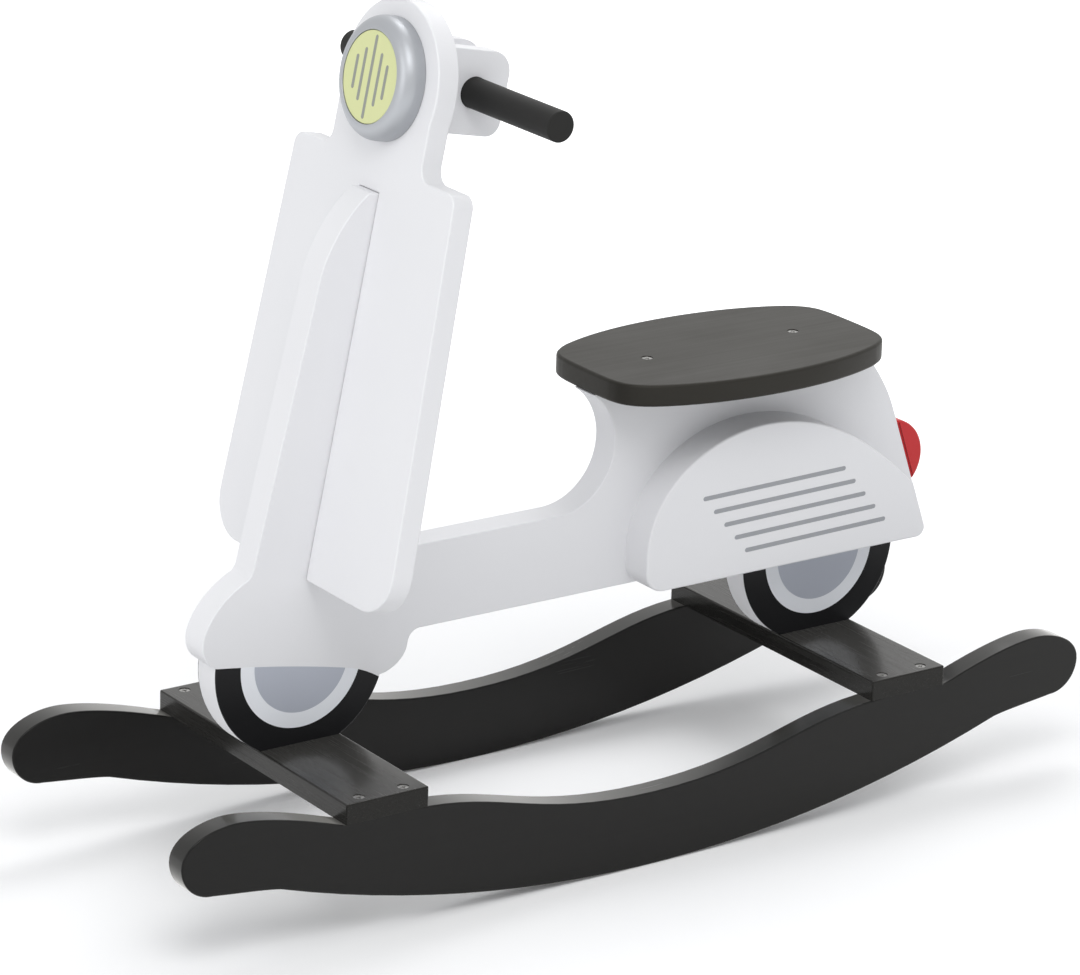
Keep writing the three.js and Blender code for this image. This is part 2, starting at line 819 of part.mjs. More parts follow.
function headlightRing() {
  const pocket = lensRadius + fit;
  const floor = ringDepth - lensRecess - lensThickness - fit;
  const rim = point(ringRadius - ringRimRadius, ringDepth - ringRimRadius);
  const profile = [
    point(0, 0),
    point(ringRadius, 0),
    ...arc(rim, ringRimRadius, 0, Math.PI / 2, roundingStep),
    point(pocket, ringDepth),
    point(pocket, floor),
    point(0, floor),
  ];
  const start = new THREE.Vector3(fit, 0, barUp);
  const ring = turned(profile, start, forward, turnedSides);
  return cutAway(ring, [dowelHole(lampDowelStart, forward, lampDowelLength, dowelRadius)]);
}

function headlightLens() {
  const start = new THREE.Vector3(ringDepth - lensRecess - lensThickness + fit, 0, barUp);
  return roundRod(start, forward, lensThickness, lensRadius, turnedSides);
}

// The assembly.

const scooter = new THREE.Group();

function mesh(name, geometry, look) {
  const piece = new THREE.Mesh(geometryOf(solid(geometry)), new THREE.MeshStandardMaterial(paint[look]));
  piece.name = name;
  return piece;
}

function addRunningGear() {
  scooter.add(mesh('rocker_left', rocker(1), 'black'));
  scooter.add(mesh('rocker_right', rocker(-1), 'black'));
  for (const [end, railX] of [['front', axleX], ['rear', -axleX]]) {
    scooter.add(mesh(`rail_${end}`, rail(railX), 'black'));
    for (const [i, at] of railScrewPlaces(railX).entries()) {
      scooter.add(mesh(`rail_screw_${end}_${i + 1}`, screw(at, downward, railScrewLength), 'steel'));
    }
    for (const [i, at] of footScrewPlaces(railX).entries()) {
      scooter.add(mesh(`foot_screw_${end}_${i + 1}`, screw(at, upward, footScrewLength), 'steel'));
    }
  }
}

function addBody() {
  scooter.add(mesh('centre_panel', centrePanel(), 'white'));
  scooter.add(mesh('seat', seat(), 'black'));
  for (const [i, at] of seatScrewPlaces().entries()) {
    scooter.add(mesh(`seat_screw_${i + 1}`, screw(at, downward, seatScrewLength), 'steel'));
  }
  scooter.add(mesh('cowl_left', cowl(1), 'white'));
  scooter.add(mesh('cowl_right', cowl(-1), 'white'));
  for (const [i, at] of cowlDowelPlaces().entries()) {
    const dowel = roundRod(at, leftward, cowlDowelLength, cowlDowelRadius);
    scooter.add(mesh(`cowl_dowel_${i + 1}`, dowel, 'beech'));
  }
  scooter.add(mesh('tail_light', tailLight(), 'red'));
  const tailDowel = roundRod(sidePoint(tailDowelStart()), tailDowelDirection(), dowelLength, dowelRadius);
  scooter.add(mesh('tail_light_dowel', tailDowel, 'beech'));
}

function addSteering() {
  leaning.add(mesh('leg_shield', legShield(), 'white'));
  leaning.add(mesh('handle_cheek_left', handleCheek(1), 'white'));
  leaning.add(mesh('handle_cheek_right', handleCheek(-1), 'white'));
  for (const [i, at] of shieldDowelPlaces().entries()) {
    const dowel = roundRod(at, backward, dowelLength, dowelRadius);
    leaning.add(mesh(`shield_dowel_${i + 1}`, dowel, 'beech'));
  }
  leaning.add(mesh('handlebar', handlebar(), 'black'));
  leaning.add(mesh('handlebar_screw', screw(barScrewStart, forward, barScrewLength), 'steel'));
  leaning.add(mesh('headlight_ring', headlightRing(), 'silver'));
  leaning.add(mesh('headlight_lens', headlightLens(), 'lime'));
  const lampDowel = roundRod(lampDowelStart, forward, lampDowelLength, dowelRadius);
  leaning.add(mesh('headlight_dowel', lampDowel, 'beech'));
  scooter.add(leaning);
}

addRunningGear();
addBody();
addSteering();

export default scooter;
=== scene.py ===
# %% [markdown]
# # A rocking scooter made of painted boards
#
# The toy is a scooter cut from flat boards. One upright centre board holds the two round
# wheels, the floor beam, the seat post and the raked column. A leg shield, a head with a
# lamp and a handlebar sit at the front, a seat and two cowls at the back, and the whole
# scooter stands on two rails that join a pair of black rockers.
#
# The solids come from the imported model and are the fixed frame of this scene. They could be
# shown as they are, but their edges are as sharp as knives, and their turned pieces have
# flat sides. So this script rounds the boards' edges, turns the lamp's ring and the screws
# again, lays the coats of paint on the wheels, cowls and lamp, and gives every piece its
# finish.

# %% Load the frame
import math

import bmesh
import bpy
from mathutils import Matrix, Vector


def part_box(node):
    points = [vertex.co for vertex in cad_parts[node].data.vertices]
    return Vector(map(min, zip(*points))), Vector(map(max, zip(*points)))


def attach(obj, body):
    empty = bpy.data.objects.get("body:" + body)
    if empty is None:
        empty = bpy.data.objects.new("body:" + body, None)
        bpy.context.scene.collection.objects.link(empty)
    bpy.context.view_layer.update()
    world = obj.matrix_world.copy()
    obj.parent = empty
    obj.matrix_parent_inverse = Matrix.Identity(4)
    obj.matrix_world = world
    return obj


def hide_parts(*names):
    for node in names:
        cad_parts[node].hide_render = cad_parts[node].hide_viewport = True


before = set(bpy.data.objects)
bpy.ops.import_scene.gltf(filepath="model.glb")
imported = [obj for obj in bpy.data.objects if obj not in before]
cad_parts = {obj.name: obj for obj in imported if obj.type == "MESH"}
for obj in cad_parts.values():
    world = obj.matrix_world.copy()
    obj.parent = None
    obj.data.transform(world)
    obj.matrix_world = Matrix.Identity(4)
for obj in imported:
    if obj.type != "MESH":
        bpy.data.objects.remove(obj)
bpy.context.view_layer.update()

MM = 0.001
scene = bpy.context.scene

# %% [markdown]
# ## The camera
#
# The photograph looks down a little on the scooter's left side from ahead of its front
# wheel. A camera could be aimed with a Track To constraint, but a constraint holds the
# horizon level, and the photograph's is tipped by almost two degrees. So the camera's three
# axes are worked out from a heading, a height angle and a roll, and written into its matrix.

# %% Place the camera
HEADING = 0.614543
LOOK_DOWN = 0.331249
ROLL = 0.0302726
EYE = Vector((1.95746, 2.74516, 1.40620))
FOCAL_LENGTH = 165.5
SENSOR_WIDTH = 36.0
UP = Vector((0, 0, 1))

backwards = Vector((
    math.sin(HEADING) * math.cos(LOOK_DOWN),
    math.cos(HEADING) * math.cos(LOOK_DOWN),
    math.sin(LOOK_DOWN),
))
level = UP.cross(backwards).normalized()
upright = backwards.cross(level)
right = math.cos(ROLL) * level + math.sin(ROLL) * upright
top = math.cos(ROLL) * upright - math.sin(ROLL) * level

lens = bpy.data.cameras.new("studio_camera")
lens.lens = FOCAL_LENGTH
lens.sensor_width = SENSOR_WIDTH
camera = bpy.data.objects.new("studio_camera", lens)
camera.matrix_world = Matrix((right, top, backwards)).transposed().to_4x4()
camera.matrix_world.translation = EYE
scene.collection.objects.link(camera)
scene.camera = camera
print("the camera stands", round(EYE.length, 2), "m from the middle of the floor")

# %% [markdown]
# ## The studio
#
# The toy stands on a pale floor in a white studio, with a soft shadow under the rockers.
# Turning the lamps up until the floor is pure white would wash the white boards out. So the
# lamps stay at a plain level, and the floor and the world look white only to the eye of the
# camera and to reflections: the Light Path node tells these rays from the light that falls
# on the toy. The floor only gets a little glow on top of its true shading, so that the
# shading still holds the shadow, and the glow grows with the distance from the toy until
# the floor is as white as the backdrop.

# %% An empty node tree to build in
def nodes_of(owner):
    """An empty node tree on a material or a world, with makers for its nodes and links."""
    owner.use_nodes = True
    tree = owner.node_tree
    tree.nodes.clear()

    def add(kind, **values):
        node = tree.nodes.new(kind)
        for name, value in values.items():
            if name in node.inputs:
                node.inputs[name].default_value = value
            else:
                setattr(node, name, value)
        return node

    return add, tree.links.new


# %% Sums and ranges in a node tree
def combined(add, join, operation, first, second):
    """What a Math node makes of two values."""
    node = add("ShaderNodeMath", operation=operation)
    join(first, node.inputs[0])
    join(second, node.inputs[1])
    return node.outputs[0]


def ranged(add, join, value, low, high, start=0.3, end=0.7, curve="LINEAR"):
    """The value between start and end, spread over low to high."""
    node = add("ShaderNodeMapRange", interpolation_type=curve)
    join(value, node.inputs["Value"])
    limits = {"From Min": start, "From Max": end, "To Min": low, "To Max": high}
    for name, number in limits.items():
        node.inputs[name].default_value = number
    return node.outputs["Result"]


# %% Tell the camera's rays and reflections from the light
def looked_at(add, join):
    """1 where a ray comes from the camera, from a shine or through glass, and else 0."""
    rays = add("ShaderNodeLightPath").outputs
    shown = combined(add, join, "MAXIMUM", rays["Is Camera Ray"], rays["Is Glossy Ray"])
    return combined(add, join, "MAXIMUM", shown, rays["Is Transmission Ray"])


# %% The white studio around the toy
STUDIO_LIGHT = 0.587
BACKDROP_LIGHT = 1.0
WHITE = (1.0, 1.0, 1.0, 1.0)
COOL_WHITE = (0.97, 0.985, 1.0, 1.0)

world = bpy.data.worlds.new("white_studio")
scene.world = world
add, join = nodes_of(world)
soft = add("ShaderNodeBackground", Color=COOL_WHITE, Strength=STUDIO_LIGHT)
white = add("ShaderNodeBackground", Color=WHITE, Strength=BACKDROP_LIGHT)
chosen = add("ShaderNodeMixShader")
join(looked_at(add, join), chosen.inputs[0])
join(soft.outputs[0], chosen.inputs[1])
join(white.outputs[0], chosen.inputs[2])
join(chosen.outputs[0], add("ShaderNodeOutputWorld").inputs["Surface"])
print("the studio lights the toy at", STUDIO_LIGHT, "and looks white at", BACKDROP_LIGHT)

# %% Lay the floor
FLOOR_HALF = 30.0

floor_mesh = bpy.data.meshes.new("floor")
floor_mesh.from_pydata(
    [(-FLOOR_HALF, -FLOOR_HALF, 0), (FLOOR_HALF, -FLOOR_HALF, 0),
     (FLOOR_HALF, FLOOR_HALF, 0), (-FLOOR_HALF, FLOOR_HALF, 0)],
    [], [(0, 1, 2, 3)])
floor = bpy.data.objects.new("floor", floor_mesh)
scene.collection.objects.link(floor)
print("the floor is", round(2 * FLOOR_HALF), "m wide")

# %% Paint the floor, with a glow that grows away from the toy
PALE_GREY = (0.95, 0.95, 0.955, 1.0)
GLOW_NEAR = 0.062
GLOW_FAR = 0.60
GLOW_START = 0.45
GLOW_END = 1.40

floor_paint = bpy.data.materials.new("studio_floor")
add, join = nodes_of(floor_paint)
matt = add("ShaderNodeBsdfDiffuse", Color=PALE_GREY, Roughness=0.0)
glow = add("ShaderNodeEmission", Color=WHITE)
away = add("ShaderNodeVectorMath", operation="LENGTH")
join(add("ShaderNodeTexCoord").outputs["Object"], away.inputs[0])
fade = ranged(add, join, away.outputs["Value"], GLOW_NEAR, GLOW_FAR, GLOW_START, GLOW_END,
              "SMOOTHSTEP")
join(combined(add, join, "MULTIPLY", looked_at(add, join), fade), glow.inputs["Strength"])
lifted = add("ShaderNodeAddShader")
join(matt.outputs[0], lifted.inputs[0])
join(glow.outputs[0], lifted.inputs[1])
join(lifted.outputs[0], add("ShaderNodeOutputMaterial").inputs["Surface"])
floor_mesh.materials.append(floor_paint)
print("the floor's glow grows from", GLOW_NEAR, "to", GLOW_FAR)

# %% [markdown]
# ## The lamps
#
# A white toy is photographed under large soft lamps, so that its shadows have no hard rim.
# A sun or point lamps would draw every shadow sharp, so square area lamps hang all round.
# Three hang before the toy, and make its front a little brighter than its side. Three
# weaker ones hang behind it, and draw the soft shadow on the near side of the rockers. The
# view transform stays plain, so that a colour comes out as it is written.

# %% Hang the lamps
TOY_MIDDLE = Vector((0.0, 0.0, 0.25))
LAMPS = {  # where it hangs in metres, its watts, its width in metres
    "lamp_key": ((1.2, 1.6, 2.8), 23.4, 1.4),
    "lamp_ahead": ((2.8, 0.3, 1.5), 16.9, 1.6),
    "lamp_beside": ((0.2, 2.0, 2.4), 6.7, 1.4),
    "lamp_rear_top": ((-0.7, -0.9, 2.6), 11.0, 1.0),
    "lamp_rear_far": ((-1.5, -1.1, 2.1), 9.0, 1.2),
    "lamp_rear_side": ((-2.2, 0.7, 2.0), 4.0, 2.0),
}

for name, (place, watts, width) in LAMPS.items():
    light = bpy.data.lights.new(name, "AREA")
    light.energy = watts
    light.size = width
    lamp = bpy.data.objects.new(name, light)
    lamp.location = place
    lamp.rotation_euler = (TOY_MIDDLE - Vector(place)).to_track_quat("-Z", "Y").to_euler()
    scene.collection.objects.link(lamp)
scene.view_settings.view_transform = "Standard"
print(len(LAMPS), "lamps hang round the toy")

# %% [markdown]
# ## From solids to boards
#
# The real boards were sawn out and their edges were rounded with a router before painting,
# which is why each edge catches a thin line of light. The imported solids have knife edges,
# and their faces are cut into triangles. A Bevel modifier on them would round the seams
# between triangles too, so a working copy of each mesh is welded, its flat faces are joined
# back into one, and only the true corners are then rounded in mesh code. Blender can hold a
# bevel back so that it never meets its neighbour, but then one short edge would thin the
# rounding of the whole board, so that is off. The copy stands exactly where the solid is,
# and takes its place.

# %% Join the triangles of a solid back into whole faces
WELD = 0.01 * MM
FLAT = math.radians(0.4)
CORNER = math.radians(32)


def whole_faces(node):
    """A working mesh of one solid with each flat face in one piece."""
    bm = bmesh.new()
    bm.from_mesh(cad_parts[node].data)
    bmesh.ops.remove_doubles(bm, verts=bm.verts, dist=WELD)
    bmesh.ops.dissolve_limit(bm, angle_limit=FLAT, verts=bm.verts[:], edges=bm.edges[:],
                             use_dissolve_boundaries=False)
    return bm


# %% Turn a working mesh into a piece of the scooter
EVEN_WEIGHT = 100


def piece_from(bm, name, finish, stands_for=()):
    """Makes a smooth-shaded piece with that finish, which rides on the scooter's one body."""
    bmesh.ops.recalc_face_normals(bm, faces=bm.faces[:])
    inside_out = bm.calc_volume(signed=True) < 0
    if inside_out:
        bmesh.ops.reverse_faces(bm, faces=bm.faces[:])
    mesh = bpy.data.meshes.new(name)
    bm.to_mesh(mesh)
    bm.free()
    mesh.polygons.foreach_set("use_smooth", [True] * len(mesh.polygons))
    mesh.set_sharp_from_angle(angle=CORNER)
    mesh.materials.append(finish)
    piece = bpy.data.objects.new(name, mesh)
    scene.collection.objects.link(piece)
    even = piece.modifiers.new("even_shading", "WEIGHTED_NORMAL")
    even.keep_sharp = True
    even.weight = EVEN_WEIGHT
    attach(piece, "root")
    if stands_for:
        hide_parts(*stands_for)


# %% Round a board's corners
ROUND_STEPS = 3


def rounded_board(node, radius, finish, kept_sharp):
    """Makes the board of one solid, with its outward corners rounded to that radius."""
    bm = whole_faces(node)
    corners = [
        e for e in bm.edges
        if e.is_manifold and e.calc_face_angle_signed() > CORNER and not kept_sharp(e)
    ]
    bmesh.ops.bevel(bm, geom=corners, offset=radius, offset_type="OFFSET", profile=0.5,
                    segments=ROUND_STEPS, affect="EDGES", clamp_overlap=False)
    piece_from(bm, node + "_board", finish, (node,))
    print(node, "has", len(corners), "corners rounded to", round(radius / MM, 2), "mm")


# %% [markdown]
# ## Finishes
#
# Every finish is a Principled shader with its own fine detail: sprayed paint has a faint
# orange peel and patches that are a little duller, painted pine shows its grain through the
# paint, and bare beech has short dark flecks. Pictures of paint could be wrapped round the
# boards, but they would need unwrapping and would repeat. Noise worked out in space runs
# through every board at its true size, so nothing stretches at the edges.

# %% A finish to build on
def new_finish(name, **settings):
    """A material with a Principled shader, and what it takes to add nodes to it."""
    finish = bpy.data.materials.new(name)
    add, join = nodes_of(finish)
    shader = add("ShaderNodeBsdfPrincipled", **settings)
    join(shader.outputs[0], add("ShaderNodeOutputMaterial").inputs["Surface"])
    where = add("ShaderNodeTexCoord").outputs["Object"]
    return finish, add, join, shader, where


# %% Noise, mixed colours and bumps
def noise(add, join, where, scale, detail, rough=0.5):
    """Cloudy noise with about that many clouds to the metre."""
    node = add("ShaderNodeTexNoise", Scale=scale, Detail=detail, Roughness=rough)
    join(where, node.inputs["Vector"])
    return node.outputs["Fac"]


def mixed(add, join, share, first, second):
    """A colour between two colours, by a share."""
    node = add("ShaderNodeMix", data_type="RGBA")
    share_in, first_in, second_in = (node.inputs[i] for i in (0, 6, 7))
    join(share, share_in)
    first_in.default_value = (*first, 1.0)
    second_in.default_value = (*second, 1.0)
    colour_out = node.outputs[2]
    return colour_out


def bumped(add, join, shader, height, strength, distance):
    """Lifts the surface a little where the height is great."""
    bump = add("ShaderNodeBump", Strength=strength, Distance=distance)
    join(height, bump.inputs["Height"])
    join(bump.outputs["Normal"], shader.inputs["Normal"])


# %% Spray a paint
PATCH_SCALE = 14.0
PEEL_SCALE = 700.0
PEEL_STRENGTH = 0.04
PEEL_HEIGHT = 0.2 * MM


def sprayed_paint(name, colour, patch_colour, rough, rough_patch, shine=0.5, metal=0.0):
    """Paint with an orange peel, and patches of slightly other colour and shine."""
    finish, add, join, shader, where = new_finish(
        name, **{"Specular IOR Level": shine, "Metallic": metal})
    patches = noise(add, join, where, PATCH_SCALE, detail=4.0)
    join(mixed(add, join, patches, colour, patch_colour), shader.inputs["Base Color"])
    join(ranged(add, join, patches, rough, rough_patch), shader.inputs["Roughness"])
    peel = noise(add, join, where, PEEL_SCALE, detail=1.0)
    bumped(add, join, shader, peel, PEEL_STRENGTH, PEEL_HEIGHT)
    return finish


# %% Mix the sprayed paints
white_paint = sprayed_paint("white_paint", (0.80, 0.80, 0.815), (0.78, 0.78, 0.80), 0.42, 0.50)
tyre_paint = sprayed_paint("tyre_black_paint", (0.006, 0.006, 0.007), (0.009, 0.009, 0.010),
                           0.30, 0.38, shine=0.2)
rim_paint = sprayed_paint("rim_light_paint", (0.84, 0.86, 0.90), (0.82, 0.84, 0.88),
                          0.34, 0.42)
hub_paint = sprayed_paint("hub_grey_paint", (0.45, 0.475, 0.54), (0.43, 0.455, 0.52),
                          0.34, 0.42, metal=0.15)
stripe_paint = sprayed_paint("stripe_grey_paint", (0.33, 0.34, 0.36), (0.31, 0.32, 0.34),
                             0.36, 0.44)
bar_paint = sprayed_paint("lamp_bar_paint", (0.28, 0.295, 0.26), (0.26, 0.275, 0.24),
                          0.40, 0.48)
lime_paint = sprayed_paint("lime_paint", (0.67, 0.70, 0.36), (0.65, 0.68, 0.34), 0.42, 0.50)
red_paint = sprayed_paint("red_paint", (0.55, 0.013, 0.017), (0.51, 0.012, 0.015),
                          0.34, 0.42, shine=0.35)
silver_paint = sprayed_paint("silver_paint", (0.415, 0.428, 0.45), (0.39, 0.403, 0.425),
                             0.36, 0.45, metal=0.60)
print("9 sprayed paints are mixed")

# %% [markdown]
# ## Black paint over pine
#
# The rockers, rails, seat and handlebar are black, and the grain can be felt through the
# thin satin paint. It could be modelled as ridges, but they would be finer than any mesh
# worth having. So it is a noise squeezed along one direction, which draws long fine lines,
# lifts the surface a little and changes how it shines. Where one looks along a black board,
# it turns almost white: the plain shine of a dark paint doesn't do that, so a sheen and a
# thin clear coat give the rockers and rails their bloom.

# %% Draw noise out into grain
def squeezed_noise(add, join, where, stretch, detail, rough):
    """Noise drawn out into fine lines, which run where the stretch is small."""
    squeezed = add("ShaderNodeMapping", Scale=stretch)
    join(where, squeezed.inputs["Vector"])
    return noise(add, join, squeezed.outputs[0], 1.0, detail, rough)


# %% Paint over grain
WARM = (1.0, 0.975, 0.91, 1.0)
BLOOM_ROUGH = 0.35
COAT_IOR = 1.2
COAT_ROUGH = 0.14
GRAIN_HEIGHT = 0.3 * MM
PATCH_ROUGH = 0.06


def painted_grain(name, colour, worn, rough, rough_line, stretch, depth, shine,
                  bloom=0.0, coat=0.0):
    """Satin paint with grain lines, a warm bloom at low angles and a clear coat."""
    finish, add, join, shader, where = new_finish(name, **{
        "Specular IOR Level": shine, "Specular Tint": WARM, "Sheen Weight": bloom,
        "Sheen Roughness": BLOOM_ROUGH, "Sheen Tint": WARM, "Coat Weight": coat,
        "Coat IOR": COAT_IOR, "Coat Roughness": COAT_ROUGH})
    lines = squeezed_noise(add, join, where, stretch, detail=5.0, rough=0.6)
    join(mixed(add, join, lines, colour, worn), shader.inputs["Base Color"])
    patches = noise(add, join, where, PATCH_SCALE, detail=3.0)
    from_lines = ranged(add, join, lines, 0.0, rough_line)
    from_patches = ranged(add, join, patches, rough, rough + PATCH_ROUGH)
    join(combined(add, join, "ADD", from_lines, from_patches), shader.inputs["Roughness"])
    bumped(add, join, shader, lines, depth, GRAIN_HEIGHT)
    return finish


# %% Mix the black paints
ALONG_X = (7.0, 260.0, 260.0)
ALONG_Y = (260.0, 7.0, 260.0)

rocker_black = painted_grain(
    "rocker_black_paint", (0.0030, 0.0030, 0.0032), (0.0045, 0.0045, 0.0047), rough=0.17,
    rough_line=0.06, stretch=ALONG_X, depth=0.08, shine=0.09, bloom=0.95, coat=1.0)
rail_black = painted_grain(
    "rail_black_paint", (0.0030, 0.0029, 0.0027), (0.0070, 0.0068, 0.0062), rough=0.13,
    rough_line=0.18, stretch=ALONG_Y, depth=0.22, shine=0.20, bloom=0.42, coat=0.5)
seat_black = painted_grain(
    "seat_black_paint", (0.0100, 0.0088, 0.0064), (0.0122, 0.0108, 0.0082), rough=0.46,
    rough_line=0.06, stretch=ALONG_X, depth=0.05, shine=0.30, bloom=0.12)
bar_black = painted_grain(
    "bar_black_paint", (0.014, 0.014, 0.014), (0.018, 0.018, 0.018), rough=0.54,
    rough_line=0.06, stretch=ALONG_Y, depth=0.08, shine=0.20)
print("4 black paints are mixed, with their grain along the boards")

# %% [markdown]
# ## The boards
#
# Boards that are glued to a neighbour keep a crisp edge there, because the router can't
# reach a closed joint, and so do the holes for screws, dowels and the handlebar. Everywhere
# else the edge is rounded: most on the seat, which hands and legs touch, and least on the
# thin disc of the lamp. The edges could be marked by hand, one by one. Here two tests find
# them by where they lie, so the same lines still work when a board changes.

# %% The middle of a solid
def middle_of(node):
    """The middle of a solid's corners, which lies on its axis if it is a turned piece."""
    bm = whole_faces(node)
    middle = sum((v.co for v in bm.verts), Vector()) / len(bm.verts)
    bm.free()
    return middle


# %% Where the screws, dowels and the bar go through
RAKE = math.radians(11.38)
LEAN_FORWARD = Vector((math.cos(RAKE), 0, math.sin(RAKE)))
ACROSS = Vector((0, 1, 0))
PIN_MARGIN = 0.8 * MM

ways_in = {"rail_screw": UP, "foot_screw": UP, "seat_screw": UP, "cowl_dowel": ACROSS,
           "handlebar_screw": LEAN_FORWARD, "shield_dowel": LEAN_FORWARD,
           "headlight_dowel": LEAN_FORWARD, "handlebar": ACROSS}
pins = []
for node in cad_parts:
    # rail_screw_front_1 and its like are all of the kind rail_screw
    kind = node.rstrip("_1234").removesuffix("_front").removesuffix("_rear")
    if kind in ways_in:
        low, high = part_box(node)
        girth = min(high - low) / 2
        pins.append((middle_of(node), ways_in[kind], girth + PIN_MARGIN))
print(len(pins), "pins go through the boards")


# %% Which edges are kept sharp
def at_a_pin(edge):
    """Whether an edge runs round the hole of a pin."""
    for middle, along, reach in pins:
        offsets = [v.co - middle for v in edge.verts]
        if all((d - along * d.dot(along)).length < reach for d in offsets):
            return True
    return False


TOUCH = 0.05 * MM


def joined_at(way, *levels):
    """A test for edges at a pin's hole, or on a joint's plane at a level along the way."""
    def kept(edge):
        at_joint = any(all(abs(v.co.dot(way) - level) < TOUCH for v in edge.verts)
                       for level in levels)
        return at_joint or at_a_pin(edge)
    return kept


# %% Round the rockers and rails
LAND = 86.0 * MM
ROCKER_ROUND = 1.2 * MM
BOARD_ROUND = 1.1 * MM

for side in ("left", "right"):
    rounded_board("rocker_" + side, ROCKER_ROUND, rocker_black,
                  joined_at(UP, LAND))
for end in ("front", "rear"):
    rounded_board("rail_" + end, BOARD_ROUND, rail_black, joined_at(UP, LAND))

# %% Round the centre board and what is glued to its sides
RAIL_TOP = 101.0 * MM
LEDGE = 317.5 * MM
PANEL_HALF = 12.0 * MM
COWL_ROUND = 1.5 * MM

rounded_board("centre_panel", BOARD_ROUND, white_paint,
              joined_at(UP, RAIL_TOP, LEDGE))
for side, way in (("left", ACROSS), ("right", -ACROSS)):
    glued = joined_at(way, PANEL_HALF)
    rounded_board("cowl_" + side, COWL_ROUND, white_paint, glued)
    rounded_board("handle_cheek_" + side, BOARD_ROUND, white_paint, glued)

# %% Round the leg shield, the seat and the small pieces
SMALL_ROUNDS = {  # radius in millimetres, finish, slot
    "leg_shield": (1.3, white_paint, "white_paint"),
    "seat": (2.6, seat_black, "seat_black"),
    "tail_light": (2.0, red_paint, "red_paint"),
    "handlebar": (1.0, bar_black, "seat_black"),
    "headlight_lens": (0.4, lime_paint, "lime_paint"),
}

for node, (radius, finish, slot) in SMALL_ROUNDS.items():
    rounded_board(node, radius * MM, finish, at_a_pin)

# %% [markdown]
# ## The painted wheels
#
# The wheels don't turn: each is a round end of the centre board. A black tyre, a pale ring
# and a grey hub are sprayed on both faces through a stencil, and the board's edge stays
# white. The rings could be drawn in the board's own finish, but a coat with a real
# thickness has a crisp outline at any distance. So each coat is a thin skin turned about
# the axle. The tyre's skin runs over the rounded edge of the board, as sprayed paint does.
# The front fender cuts the front wheel off along a flat arch, and the cowls cut the rear one.

# %% Turn a closed outline about an axle
TURNS = 128
SPECK = 0.001 * MM


def band(bm, row, following):
    """Faces between two closed rows of points."""
    for i in range(len(row)):
        j = (i + 1) % len(row)
        bm.faces.new((row[i], row[j], following[j], following[i]))


def turned_about_y(outline):
    """A ring made by turning a closed outline of (radius, distance along Y) points."""
    bm = bmesh.new()
    rows = []
    for step in range(TURNS):
        angle = 2 * math.pi * step / TURNS
        rows.append([
            bm.verts.new((r * math.cos(angle), y, r * math.sin(angle))) for r, y in outline
        ])
    for row, following in zip(rows, rows[1:] + rows[:1]):
        band(bm, row, following)
    # where the outline touches the axle, its points meet and leave slivers and loose edges
    bmesh.ops.remove_doubles(bm, verts=bm.verts, dist=SPECK)
    bmesh.ops.dissolve_degenerate(bm, dist=SPECK, edges=bm.edges[:])
    loose = [e for e in bm.edges if not e.link_faces]
    bmesh.ops.delete(bm, geom=loose, context="EDGES")
    return bm


# %% The outlines of the three coats
COAT = 0.12 * MM
THICK_COAT = 0.15 * MM
SUNK = 0.10 * MM
WHEEL_RADIUS = 69.8 * MM
TYRE_TURN = math.radians(75)
TYRE_STEPS = 5
RIM_OUTER = 49.6 * MM
HUB_OUTER = 38.4 * MM


def flat_skin(inner, outer, thick):
    """The outline of a skin on the board's flat face, between two radii."""
    under, over = PANEL_HALF - SUNK, PANEL_HALF + thick
    return [(inner, under), (outer, under), (outer, over), (inner, over)]


def tyre_skin(inner):
    """The outline of the tyre's skin, which follows the rounded edge of the board."""
    bend = WHEEL_RADIUS - BOARD_ROUND
    angles = [TYRE_TURN * i / TYRE_STEPS for i in range(TYRE_STEPS + 1)]

    def along(grown):
        return [(bend + (BOARD_ROUND + grown) * math.sin(a),
                 PANEL_HALF - BOARD_ROUND + (BOARD_ROUND + grown) * math.cos(a))
                for a in angles]

    return ([(inner, PANEL_HALF + COAT)] + along(COAT) + along(-SUNK)[::-1]
            + [(inner, PANEL_HALF - SUNK)])


# %% Cut a coat along a plane and close it again
def cut_off(bm, point, outward):
    """Cuts away what lies beyond the plane, and closes the cut."""
    everything = bm.verts[:] + bm.edges[:] + bm.faces[:]
    bmesh.ops.bisect_plane(bm, geom=everything, plane_co=point, plane_no=outward,
                           clear_outer=True)
    bmesh.ops.holes_fill(bm, edges=[e for e in bm.edges if e.is_boundary], sides=0)


# %% The fender's arch over the front wheel
LEAN_AT = Vector((249.7, 0.0, 101.0)) * MM
LEAN_UP = Vector((-math.sin(RAKE), 0, math.cos(RAKE)))
ARCH_TOP = 60.2 * MM
ARCH_BEHIND = 12 * MM
ARCH_RADIUS = 1030 * MM
DROP_BEHIND = 50 * MM
DROP_RADIUS = 80 * MM
ARCH_RANGE = range(-96, 72, 6)


def leaning(forward, across, up):
    """A point by its place on the raked column: ahead of it, to the left, and up it."""
    return LEAN_AT + LEAN_FORWARD * forward + ACROSS * across + LEAN_UP * up


def arch_height(forward):
    """How high up the column the paint stops, which drops faster behind the wheel."""
    main = ARCH_TOP - (forward + ARCH_BEHIND) ** 2 / (2 * ARCH_RADIUS)
    drop = max(0.0, -forward - DROP_BEHIND) ** 2 / (2 * DROP_RADIUS)
    return main - drop


arch = [leaning(f * MM, 0, arch_height(f * MM)) for f in ARCH_RANGE]
print("the arch over the front wheel has", len(arch), "points")

# %% Paint both wheels on both faces
AXLE_X = 227.5 * MM
AXLE_Z = 162.5 * MM
COWL_BOTTOM = 168.0 * MM

